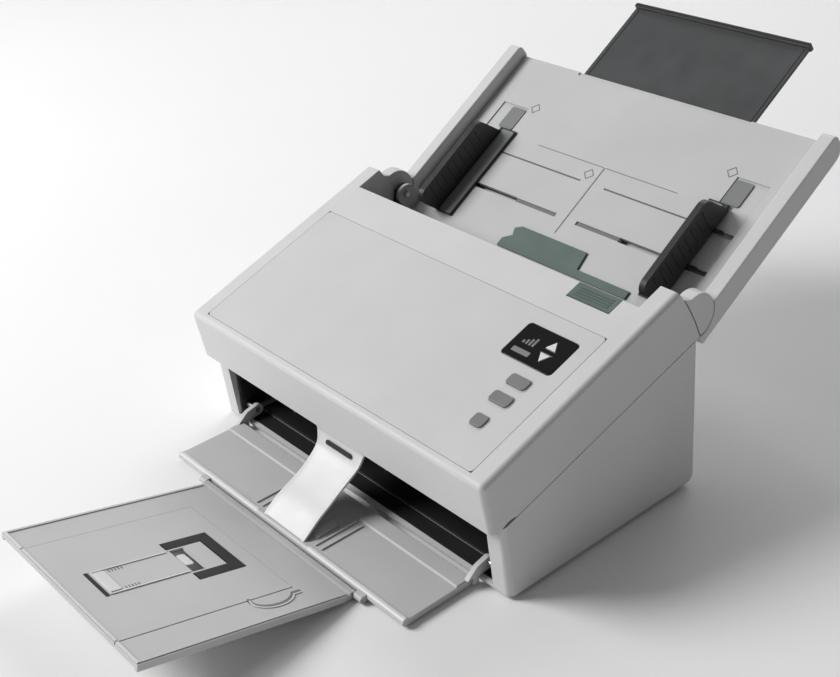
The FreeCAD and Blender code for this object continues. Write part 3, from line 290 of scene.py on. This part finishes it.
# each face: its origin, the way up it and the way out of it
faceFrames = {
    "top": (casingZero + Vector((0, -0.0176, 0.093)), topAlong, topOut),
    "tray": (casingZero + Vector((0, 0.3195, 0.1992)), trayAlong, trayOut),
    "fold": (casingZero + Vector((0, -0.0639, 0.0006)), foldAlong, foldOut),
    "tongue": (casingZero + Vector((0, -0.0085, 0.0416)), tongueAlong, tongueOut),
    "stage": (casingZero + Vector((0, 0, 0.003)), Vector((0, 1, 0)), Vector((0, 0, 1))),
}


def inCasing(y, z):
    return casingZero + Vector((0, y, z))


def slabOn(name, faceName, outline, low, high, body, slotName, finish=None, radius=0.0003):
    # a flat raised or inlaid shape on one of the sloping faces
    count = len(outline)
    verts = [onFace(faceName, x, s, level) for level in (low, high) for x, s in outline]
    faces = [tuple(reversed(range(count))), tuple(range(count, 2 * count))]
    faces += [(i, (i + 1) % count, count + (i + 1) % count, count + i) for i in range(count)]
    piece = addPiece(name, meshFrom(name, verts, faces), body, slotName, finish)
    if radius:
        roundEdges(piece, radius, 2)
    return piece


def roundedOutline(x0, s0, x1, s1, r, steps=6):
    points = []
    corners = ((x1 - r, s1 - r, 0), (x0 + r, s1 - r, 90), (x0 + r, s0 + r, 180), (x1 - r, s0 + r, 270))
    for cx, cs, start in corners:
        for step in range(steps + 1):
            angle = math.radians(start + 90 * step / steps)
            points.append((cx + r * math.cos(angle), cs + r * math.sin(angle)))
    return points


def ringOutline(name, faceName, outer, inner, low, high, body, slotName, finish=None):
    # a frame-like shape between two outlines with the same number of points
    count = len(outer)
    verts = []
    for outline, level in ((outer, low), (outer, high), (inner, high), (inner, low)):
        verts += [onFace(faceName, x, s, level) for x, s in outline]
    faces = []
    for ring in range(4):
        nextRing = (ring + 1) % 4
        for i in range(count):
            j = (i + 1) % count
            faces.append((ring * count + i, ring * count + j, nextRing * count + j, nextRing * count + i))
    return addPiece(name, meshFrom(name, verts, faces), body, slotName, finish)


def strokeOn(name, faceName, points, width, low, high, body, slotName, finish=None, closed=False):
    # a line of even width drawn along points on a sloping face
    total = len(points)
    left, right = [], []
    for i, point in enumerate(points):
        here = Vector(point)
        before = Vector(points[(i - 1) % total] if closed or i else points[i])
        after = Vector(points[(i + 1) % total] if closed or i < total - 1 else points[i])
        along = (after - before).normalized()
        side = Vector((-along.y, along.x)) * width / 2
        left.append(here + side)
        right.append(here - side)
    verts, faces = [], []
    for outline, level in ((left, low), (left, high), (right, high), (right, low)):
        verts += [onFace(faceName, p.x, p.y, level) for p in outline]
    spans = total if closed else total - 1
    for ring in range(4):
        nextRing = (ring + 1) % 4
        for i in range(spans):
            j = (i + 1) % total
            faces.append((ring * total + i, ring * total + j, nextRing * total + j, nextRing * total + i))
    if not closed:
        faces.append((0, total, 2 * total, 3 * total))
        faces.append((total - 1, 4 * total - 1, 3 * total - 1, 2 * total - 1))
    return addPiece(name, meshFrom(name, verts, faces), body, slotName, finish)


# casing, cover and trays keep their own shape with rounded edges

edgeSizes = {
    "base_casing": 0.0008, "cover_shell": 0.0009, "top_panel": 0.0002, "display_window": 0.0003,
    "two_side_button": 0.0007, "one_side_button": 0.0007, "power_button": 0.0007,
    "up_key": 0.0002, "down_key": 0.0002, "cover_latch": 0.0005,
    "input_tray_plate": 0.0005, "input_tray_back": 0.0012, "left_tray_rail": 0.0018,
    "right_tray_rail": 0.0018, "entry_flap": 0.0004, "left_paper_guide": 0.0006, "right_paper_guide": 0.0006,
    "tray_extension": 0.0005,
    "hinge_caps": 0.0010, "output_tray": 0.0005, "output_extension": 0.0006, "slide_panel": 0.0003,
    "stop_flap": 0.0003, "lower_paper_guide": 0.0003, "upper_paper_guide": 0.0004,
}
finishOf = {"up_key": "key_white", "down_key": "key_white"}
for nodeName, edgeSize in edgeSizes.items():
    softened(nodeName, edgeSize, finishOf.get(nodeName))
for nodeName, nodeObject in nodes.items():
    if nodeName not in edgeSizes:
        giveMaterial(nodeObject, slotOf[nodeName])
print("moulded parts:", len(edgeSizes))


# exit tongue: a smooth strap that narrows towards the tray

tongue = {
    "path": [(-0.0608, 0.0033), (-0.0470, 0.0136), (-0.0330, 0.0212), (-0.0210, 0.0287), (-0.0104, 0.0372),
             (-0.0067, 0.0455), (-0.0064, 0.0480)],
    "halfTop": 0.0268,
    "halfFoot": 0.0225,
    "thick": 0.0017,
    "steps": 10,
    "rim": 0.0007,
}


def smoothPath(points, steps):
    # a Catmull-Rom curve through the points
    padded = [points[0]] + points + [points[-1]]
    result = []
    for i in range(1, len(padded) - 2):
        before, start, end, after = [Vector(p) for p in padded[i - 1:i + 3]]
        for step in range(steps):
            t = step / steps
            square = 2 * before - 5 * start + 4 * end - after
            cube = 3 * start - before - 3 * end + after
            result.append(0.5 * ((2 * start) + (end - before) * t + square * t ** 2 + cube * t ** 3))
    result.append(Vector(padded[-2]))
    return result


def addTongue(setup):
    path = smoothPath(setup["path"], setup["steps"])
    count = len(path)
    across = [-1, -0.93, -0.86, -0.4, 0, 0.4, 0.86, 0.93, 1]
    verts, faces = [], []
    for side in (0, 1):
        for i, point in enumerate(path):
            before, after = path[max(i - 1, 0)], path[min(i + 1, count - 1)]
            along = (after - before).normalized()
            out = Vector((-along.y, along.x))
            share = i / (count - 1)
            half = setup["halfFoot"] + (setup["halfTop"] - setup["halfFoot"]) * share
            half += 0.0016 * math.cos(share * math.pi * 2) - 0.0016
            for place in across:
                faceDepth = 0 if abs(place) > 0.9 else setup["rim"]
                level = point - out * (setup["thick"] if side else faceDepth)
                verts.append(inCasing(level.x, level.y) + Vector((half * place, 0, 0)))
    wide = len(across)
    for side in (0, 1):
        start = side * count * wide
        for i in range(count - 1):
            for j in range(wide - 1):
                a = start + i * wide + j
                faces.append((a, a + 1, a + wide + 1, a + wide))
    back = count * wide
    for i in range(count - 1):
        for j in (0, wide - 1):
            a = i * wide + j
            faces.append((a, a + wide, back + a + wide, back + a))
    for i in (0, count - 1):
        for j in range(wide - 1):
            a = i * wide + j
            faces.append((a, a + 1, back + a + 1, back + a))
    mesh = meshFrom("exit_strap", verts, faces)
    # painted highlight: the strap is drawn in the lighter copy of the plate plastic
    piece = addPiece("exit_strap", mesh, "output_stage_1", "grey_plate", "painted_highlight")
    roundEdges(piece, 0.0003, 2, 50)
    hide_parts("exit_tongue")
    # painted shade: a dark inlay stands for the shaded slot in the strap
    slabOn("exit_strap_slot", "tongue", roundedOutline(-0.014, -0.0016, 0.014, 0.0016, 0.0015),
           -0.0012, 0.00005, "output_stage_1", "dark_plastic", radius=0)


addTongue(tongue)


# first output stage: rolled lip drawn lighter as a painted highlight, rear step and two guide channels

def sweepAlongX(name, profile, x0, x1, body, slotName, finish=None, width=0.0003):
    # a moulded strip with the same section all along X
    count = len(profile)
    verts = [inCasing(y, z) + Vector((x0, 0, 0)) for y, z in profile]
    verts += [inCasing(y, z) + Vector((x1, 0, 0)) for y, z in profile]
    faces = [tuple(reversed(range(count))), tuple(range(count, 2 * count))]
    faces += [(i, (i + 1) % count, count + (i + 1) % count, count + i) for i in range(count)]
    piece = addPiece(name, meshFrom(name, verts, faces), body, slotName, finish)
    roundEdges(piece, width, 3, 20)
    return piece


def arcPoints(y, z, radius, start, end, steps):
    turns = [math.radians(start + (end - start) * i / steps) for i in range(steps + 1)]
    return [(y + radius * math.cos(turn), z + radius * math.sin(turn)) for turn in turns]


firstStage = {"half": 0.1288, "lipGap": 0.0290}
for side in (-1, 1):
    low, high = sorted((side * firstStage["lipGap"], side * firstStage["half"]))
    lipSection = [(-0.0566, 0.0029)] + arcPoints(-0.0597, 0.0008, 0.0033, 50, 165, 10) + [(-0.0629, 0.0006)]
    # painted highlight: the rolled lip uses the lighter copy of the plate plastic
    sweepAlongX(f"tray_lip_{'right' if side > 0 else 'left'}", lipSection, low, high, "output_stage_1",
                "grey_plate", "painted_highlight", 0.0002)
    sweepAlongX(f"tray_step_{'right' if side > 0 else 'left'}",
                [(-0.0190, 0.0028), (-0.0064, 0.0028), (-0.0064, 0.0042), (-0.0178, 0.0042)], low, high,
                "output_stage_1", "grey_plate")
    for number, offset in enumerate((0.0300, 0.0365)):
        inner, outer = sorted((side * offset, side * (offset + 0.0016)))
        slabOn(f"tray_rib_{number}_{'right' if side > 0 else 'left'}", "stage",
               roundedOutline(inner, -0.0560, outer, -0.0210, 0.0007), -0.0002, 0.0012, "output_stage_1",
               "grey_plate")
print("output tray, first stage")


# tray bay: painted shade, a matt dark sheet over the floor behind the output tray where the bay lies in shade

# half width, front, back, bottom and top of each stretch
bayShadeSheet = {
    "front": (0.1390, 0.0032, 0.0154, 0.0024, 0.0029),
    "rear": (0.1338, 0.0156, 0.0830, 0.0038, 0.0046),
}
for name, (reach, front, back, low, high) in bayShadeSheet.items():
    corners = [(-reach, front), (reach, front), (reach, back), (-reach, back)]
    verts = [inCasing(y, level) + Vector((x, 0, 0)) for level in (low, high) for x, y in corners]
    faces = [(3, 2, 1, 0), (4, 5, 6, 7)] + [(i, (i + 1) % 4, 4 + (i + 1) % 4, 4 + i) for i in range(4)]
    mesh = meshFrom(f"bay_shade_sheet_{name}", verts, faces)
    roundEdges(addPiece(mesh.name, mesh, "casing", "dark_plastic"), 0.0002, 2)
print("tray bay")


# second stage: raised border, a dark inlay as painted shade in the U around the flap, painted-highlight rims,
# slide marks and a finger hook

for side in (-1, 1):
    strokeOn(f"stage_border_{'right' if side > 0 else 'left'}", "fold",
             [(side * 0.0832, -0.0075), (side * 0.0832, -0.1545)], 0.0018, -0.0001, 0.0007, "output_stage_2",
             "grey_plate")
    # painted highlight: this tip edge and the next one are drawn in the lighter copy of the plate plastic
    strokeOn(f"stage_tip_edge_{'right' if side > 0 else 'left'}", "fold",
             [(side * 0.0602, -0.1546), (side * 0.0840, -0.1546)], 0.0016, -0.0001, 0.0009, "output_stage_2",
             "grey_plate", "painted_highlight")
strokeOn("panel_tip_edge", "fold", [(-0.0590, -0.1546), (0.0590, -0.1546)], 0.0016, -0.0001, 0.0009,
         "output_stage_3", "grey_plate", "painted_highlight")
hookTurns = [math.radians(degrees) for degrees in range(20, 201, 10)]
hook = [(0.0655, -0.0300)]
hook += [(0.0620 + 0.0100 * math.sin(turn), -0.0500 + 0.0150 * math.cos(turn)) for turn in hookTurns]
# painted shade and painted highlight: a dark stroke stands for the shaded groove of the finger hook, the
# light rim stroke beside it for its lit edge
strokeOn("stage_finger_hook", "fold", hook, 0.0024, -0.0001, 0.0004, "output_stage_2", "grey_plate",
         "mark_grey")
strokeOn("stage_hook_rim", "fold", [(x + 0.0020, s - 0.0004) for x, s in hook], 0.0011, -0.0001, 0.0006,
         "output_stage_2", "grey_plate", "painted_highlight")
# painted highlight: the flap's side and end borders are drawn in the lighter copy of the plate plastic
for side in (-1, 1):
    strokeOn(f"flap_border_{'right' if side > 0 else 'left'}", "fold",
             [(side * 0.0136, -0.0790), (side * 0.0136, -0.1325)], 0.0012, 0.0000, 0.0009, "stopper",
             "grey_plate", "painted_highlight")
strokeOn("flap_end_border", "fold", [(-0.0136, -0.1322), (0.0136, -0.1322)], 0.0012, 0.0000, 0.0009,
         "stopper", "grey_plate", "painted_highlight")
# painted shade: a dark inlay fills the U-shaped hole around the flap
darkU = [(-0.0246, -0.0765), (-0.0246, -0.0430), (0.0246, -0.0430), (0.0246, -0.0765), (0.0164, -0.0765),
         (0.0164, -0.0510), (-0.0164, -0.0510), (-0.0164, -0.0765)]
slabOn("panel_grip_recess", "fold", darkU, -0.0006, 0.00035, "output_stage_3", "grey_plate", "dark_plastic",
       0)
# painted highlight: the grip bridge is drawn in the lighter copy of the plate plastic
slabOn("panel_grip_bridge", "fold", roundedOutline(-0.0068, -0.0760, 0.0068, -0.0700, 0.002), -0.0004, 0.0008,
       "stopper", "grey_plate", "painted_highlight", 0.0002)
for number in range(5):
    s = -0.1120 - number * 0.0022
    for side in (-1, 1):
        strokeOn(f"flap_tick_{number}_{'right' if side > 0 else 'left'}", "fold",
                 [(side * 0.0095, s), (side * 0.0125, s)], 0.0008, 0.0002, 0.00045, "stopper", "grey_plate",
                 "mark_grey")
# painted highlight: the flap grip at the tip is drawn in the lighter copy of the plate plastic
slabOn("flap_grip", "fold", roundedOutline(-0.0120, -0.1320, 0.0120, -0.1240, 0.0015), 0.0001, 0.0011,
       "stopper", "grey_plate", "painted_highlight", 0.0003)
# painted shade: a dark inlay stands for the shaded gap at the flap's end
slabOn("panel_end_gap", "fold", roundedOutline(-0.0150, -0.1365, 0.0150, -0.1337, 0.0008), -0.0012, 0.0003,
       "output_stage_3", "grey_plate", "dark_plastic", 0)
print("output tray, second stage")


# paper tray: format marks, grooves, centre line, guide feet and ribs

trayMarks = {"line": 0.0007, "rise": 0.00022, "diamond": 0.0045}
for x, s in ((-0.098, -0.0438), (0.098, -0.0438), (-0.009, -0.0825)):
    r = trayMarks["diamond"]
    place = "left" if x < -0.05 else "right" if x > 0.05 else "middle"
    strokeOn(f"format_mark_{place}", "tray", [(x - r, s), (x, s + r), (x + r, s), (x, s - r)],
             trayMarks["line"], -0.0001, trayMarks["rise"], "paper_tray", "grey_plate", "mark_grey",
             closed=True)
strokeOn("centre_line", "tray", [(0, -0.0736), (0, -0.1370)], 0.0009, -0.0001, 0.0002, "paper_tray",
         "grey_plate", "mark_grey")
for side in (-1, 1):
    word = "right" if side > 0 else "left"
    strokeOn(f"cross_line_{word}", "tray", [(side * 0.0010, -0.0735), (side * 0.0700, -0.0735)],
             0.0005, -0.0001, 0.00015, "paper_tray", "grey_plate", "mark_grey")
    # painted shade: the sunken slot floors are drawn in the darker mark grey
    for number, (s, width, inner, outer) in enumerate(((-0.0899, 0.0014, 0.0125, 0.0985),
                                                       (-0.1235, 0.0034, 0.0115, 0.0525))):
        ends = sorted((side * inner, side * outer))
        slabOn(f"slot_floor_{number}_{word}", "tray", [(ends[0], s - width / 2), (ends[1], s - width / 2),
                                                       (ends[1], s + width / 2), (ends[0], s + width / 2)],
               -0.0012, -0.0006, "paper_tray", "grey_plate", "mark_grey", 0)
    guideBody = f"{word}_guide"
    foot = sorted((side * 0.0975, side * 0.1105))
    slabOn(f"guide_foot_{word}", "tray", roundedOutline(foot[0], -0.1562, foot[1], -0.0715, 0.002),
           0.0018, 0.0027, guideBody, "guide_plastic", "pocket_grey", 0.0002)
    # painted shade: the recessed pocket floor is drawn in the darker pocket grey
    pocket = sorted((side * 0.1050, side * 0.1200))
    slabOn(f"guide_pocket_{word}", "tray", roundedOutline(pocket[0], -0.0690, pocket[1], -0.0480, 0.002),
           -0.0010, 0.0001, "paper_tray", "grey_plate", "pocket_grey", 0)
    for number in range(9):
        s = -0.0930 - number * 0.0072
        for face, x in ((0, 0.1110), (1, 0.1160)):
            ends = sorted((side * (x - 0.0005), side * (x + 0.0005)))
            slabOn(f"guide_rib_{word}_{face}_{number}", "tray", [(ends[0], s - 0.0007), (ends[1], s - 0.0007),
                                                                (ends[1], s + 0.0007), (ends[0], s + 0.0007)],
                   0.0045, 0.0225, guideBody, "guide_plastic", None, 0.0002)
print("paper tray details")


# cover: display bars, key rims and latch grip

for number in range(4):
    x = 0.0945 + number * 0.0028
    slabOn(f"display_bar_{number}", "top",
           roundedOutline(x, 0.1010, x + 0.0018, 0.1035 + number * 0.0016, 0.0004), 0.00015, 0.00032,
           "cover", "window_black", "mark_grey", 0)
slabOn("display_field", "top", roundedOutline(0.0925, 0.0925, 0.1075, 0.0965, 0.0008), 0.00015, 0.00030,
       "cover", "window_black", "pocket_grey", 0)
keyRims = {
    "two_side": (0.1094, 0.0693, 0.1266, 0.0787),
    "one_side": (0.1094, 0.0533, 0.1266, 0.0627),
    "power": (0.1124, 0.0329, 0.1236, 0.0431),
}
for name, (x0, s0, x1, s1) in keyRims.items():
    ringOutline(f"{name}_rim", "top",
                roundedOutline(x0 - 0.0006, s0 - 0.0006, x1 + 0.0006, s1 + 0.0006, 0.0034),
                roundedOutline(x0, s0, x1, s1, 0.0028), -0.0006, 0.00035, "cover", "white_panel")
for number in range(4):
    s = 0.1515 + number * 0.0022
    strokeOn(f"latch_grip_{number}", "top", [(0.0960, s), (0.1250, s)], 0.0009, 0.0000, 0.0005, "latch",
             "flap_green")
print("cover details")


# tray extension: stiffening lines and a dark rolled end

for side in (-1, 1):
    word = "right" if side > 0 else "left"
    strokeOn(f"extension_line_{word}", "tray", [(side * 0.0800, 0.0020), (side * 0.0800, 0.0730)],
             0.0012, -0.0039, -0.0034, "tray_top", "mid_grey")
slabOn("extension_end", "tray", roundedOutline(-0.0844, 0.0742, 0.0844, 0.0778, 0.0015), -0.0040, -0.0013,
       "tray_top", "mid_grey", "dark_plastic", 0.0006)
print("extension details")


# camera, floor and lights

cameraSetup = {
    "place": (0.653391, -0.438070, 0.571566),
    "azimuth": 50.8437,
    "elevation": 29.3768,
    "roll": -4.3132,
    "lens": 59.17,
    "shift": (-0.0308, -0.0188),
}


def addCamera(setup):
    azimuth, elevation, roll = [math.radians(setup[key]) for key in ("azimuth", "elevation", "roll")]
    back = Vector((math.sin(azimuth) * math.cos(elevation), -math.cos(azimuth) * math.cos(elevation),
                   math.sin(elevation)))
    right = Vector((math.cos(azimuth), math.sin(azimuth), 0))
    up = back.cross(right)
    rolledRight = right * math.cos(roll) + up * math.sin(roll)
    rolledUp = up * math.cos(roll) - right * math.sin(roll)
    camera = bpy.data.objects.new("camera", bpy.data.cameras.new("camera"))
    bpy.context.scene.collection.objects.link(camera)
    turn = Matrix((rolledRight, rolledUp, back)).transposed().to_4x4()
    camera.matrix_world = Matrix.Translation(casingZero + Vector(setup["place"])) @ turn
    camera.data.lens = setup["lens"]
    camera.data.sensor_width = 36
    camera.data.shift_x, camera.data.shift_y = setup["shift"]
    camera.data.clip_end = 20
    bpy.context.scene.camera = camera


addCamera(cameraSetup)


def addStudio():
    # one sheet: it curves up into a backdrop behind the object and stays flat in front and to the right
    steps = [(0.0, 0.0), (1.6, 0.0), (2.2, 0.0)]
    for step in range(1, 13):
        angle = math.radians(90 * step / 12)
        steps.append((2.2 + 1.2 * math.sin(angle), 1.2 * (1 - math.cos(angle))))
    steps.append((3.4, 3.5))
    around = 96
    verts = [Vector((0, 0, 0))]
    faces = []
    for radius, height in steps[1:]:
        for i in range(around):
            angle = 2 * math.pi * i / around
            rise = min(1.0, max(0.0, 0.2 + 1.3 * math.cos(angle - math.radians(141))))
            verts.append(Vector((radius * math.cos(angle), radius * math.sin(angle), height * rise)))
    for i in range(around):
        faces.append((0, 1 + i, 1 + (i + 1) % around))
    for ring in range(len(steps) - 2):
        for i in range(around):
            j = (i + 1) % around
            base = 1 + ring * around
            faces.append((base + i, base + around + i, base + around + j, base + j))
    floor = bpy.data.objects.new("studio_floor", meshFrom("studio_floor", verts, faces))
    bpy.context.scene.collection.objects.link(floor)
    for face in floor.data.polygons:
        face.use_smooth = True
    paint = bpy.data.materials.new("studio_paint")
    tree, shader = nodeGroup(paint)
    place = tree.nodes.new("ShaderNodeTexCoord")
    clouds = addNoise(tree, place, 3.0, 2.0)
    ramp = tree.nodes.new("ShaderNodeValToRGB")
    ramp.color_ramp.elements[0].color = (0.90, 0.90, 0.90, 1)
    ramp.color_ramp.elements[1].color = (0.93, 0.93, 0.93, 1)
    tree.links.new(clouds.outputs["Fac"], ramp.inputs["Fac"])
    tree.links.new(ramp.outputs["Color"], shader.inputs["Base Color"])
    shader.inputs["Roughness"].default_value = 0.9
    floor.data.materials.append(paint)


lights = {
    "key": dict(place=(-1.5, -1.5, 1.7), aim=(0, 0, 0.05), size=1.3, power=62),
    "fill": dict(place=(1.9, -1.2, 1.2), aim=(0, 0, 0.05), size=1.8, power=0.5),
    "rear": dict(place=(-0.9, 1.7, 1.9), aim=(0, 0.1, 0.1), size=1.6, power=20),
}


def addLight(name, setup):
    lamp = bpy.data.lights.new(name, "AREA")
    lamp.shape = "DISK"
    lamp.size = setup["size"]
    lamp.energy = setup["power"]
    holder = bpy.data.objects.new(name, lamp)
    bpy.context.scene.collection.objects.link(holder)
    holder.location = setup["place"]
    aim = Vector(setup["aim"]) - Vector(setup["place"])
    holder.rotation_euler = aim.to_track_quat("-Z", "Y").to_euler()


addStudio()
for lightName, lightSetup in lights.items():
    addLight(lightName, lightSetup)
world = bpy.data.worlds.new("studio_air")
world.use_nodes = True
world.node_tree.nodes["Background"].inputs["Color"].default_value = (1, 1, 1, 1)
world.node_tree.nodes["Background"].inputs["Strength"].default_value = 0.14
bpy.context.scene.world = world
bpy.context.scene.view_settings.view_transform = "Standard"
print("studio set")
